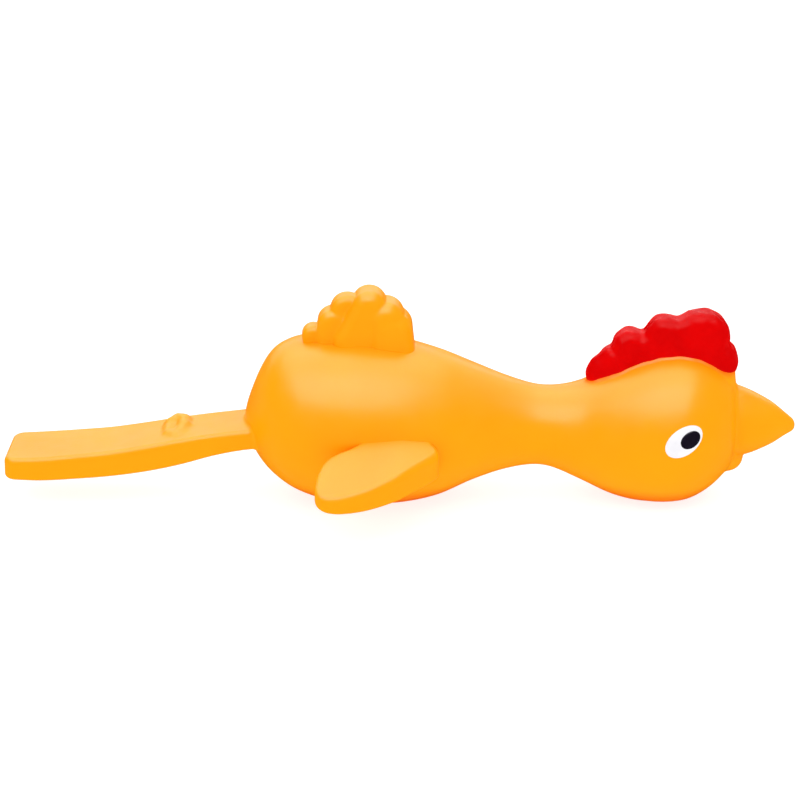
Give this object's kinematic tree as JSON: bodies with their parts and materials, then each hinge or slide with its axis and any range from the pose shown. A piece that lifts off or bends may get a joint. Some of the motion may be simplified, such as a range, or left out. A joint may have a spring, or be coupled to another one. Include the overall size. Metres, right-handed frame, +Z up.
{
  "type": "rubber chicken slingshot toy",
  "caption": "Soft yellow rubber chicken that lies on its belly, with a finger pocket under the head, a red comb, drooping wings, a feather fan and a flat strap tail to pull back and let go.",
  "frame": {"origin": "on the table, under the middle of the toy's length and width", "axes": "+X towards the tip of the beak, +Y towards the chicken's left wing, +Z up"},
  "size_m": [0.11, 0.044, 0.0304],
  "materials": {
    "chicken_rubber": "soft satin, slightly see-through moulded rubber",
    "comb_paint": "satin red paint over rubber",
    "eye_white": "pad-printed white",
    "eye_black": "pad-printed glossy black"
  },
  "bodies": {
    "torso": {"torso": "chicken_rubber", "tail_fan": "chicken_rubber"},
    "neck": {"neck_rear": "chicken_rubber", "neck_waist": "chicken_rubber", "neck_front": "chicken_rubber"},
    "head": {"head": "chicken_rubber", "comb": "comb_paint", "upper_beak": "chicken_rubber", "lower_beak": "chicken_rubber", "eye_white_right": "eye_white", "eye_white_left": "eye_white", "pupil_right": "eye_black", "pupil_left": "eye_black"},
    "wing_right": {"wing_root_right": "chicken_rubber", "wing_right": "chicken_rubber"},
    "wing_left": {"wing_root_left": "chicken_rubber", "wing_left": "chicken_rubber"},
    "tail": {"tail_root": "chicken_rubber", "tail_pad": "chicken_rubber", "tail_spur": "chicken_rubber", "tail_band": "chicken_rubber"},
    "tail_grip": {"tail_grip": "chicken_rubber"}
  },
  "joints": [
    {"name": "neck_bend", "type": "hinge", "parent": "torso", "child": "neck", "pos_m": [0.01525, 0, 0.0104], "axis": [0, -1, 0], "range_deg": [-35, 45], "stiffness_Nm_per_rad": 0.018, "deforming": ["neck_rear"]},
    {"name": "neck_stretch", "type": "slide", "parent": "neck", "child": "head", "axis": [1, 0, 0], "range_m": [0, 0.005], "stiffness_N_per_m": 1600, "deforming": ["neck_front"]},
    {"name": "wing_right_flap", "type": "hinge", "parent": "torso", "child": "wing_right", "pos_m": [0, -0.0132, 0.01], "axis": [-1, 0, 0], "range_deg": [-35, 60], "stiffness_Nm_per_rad": 0.003, "deforming": ["wing_root_right"]},
    {"name": "wing_left_flap", "type": "hinge", "parent": "torso", "child": "wing_left", "pos_m": [0, 0.0132, 0.01], "axis": [1, 0, 0], "range_deg": [-35, 60], "stiffness_Nm_per_rad": 0.003, "deforming": ["wing_root_left"]},
    {"name": "tail_bend", "type": "hinge", "parent": "torso", "child": "tail", "pos_m": [-0.0235, 0, 0.0091], "axis": [0, 1, 0], "range_deg": [-60, 60], "stiffness_Nm_per_rad": 0.003, "deforming": ["tail_root"]},
    {"name": "tail_pull", "type": "slide", "parent": "tail", "child": "tail_grip", "axis": [-1, 0, 0], "range_m": [0, 0.04], "stiffness_N_per_m": 200, "deforming": ["tail_band"]}
  ],
  "couplings": [
    {"joint": "neck_stretch", "follows": "tail_pull", "ratio": 0.125}
  ]
}
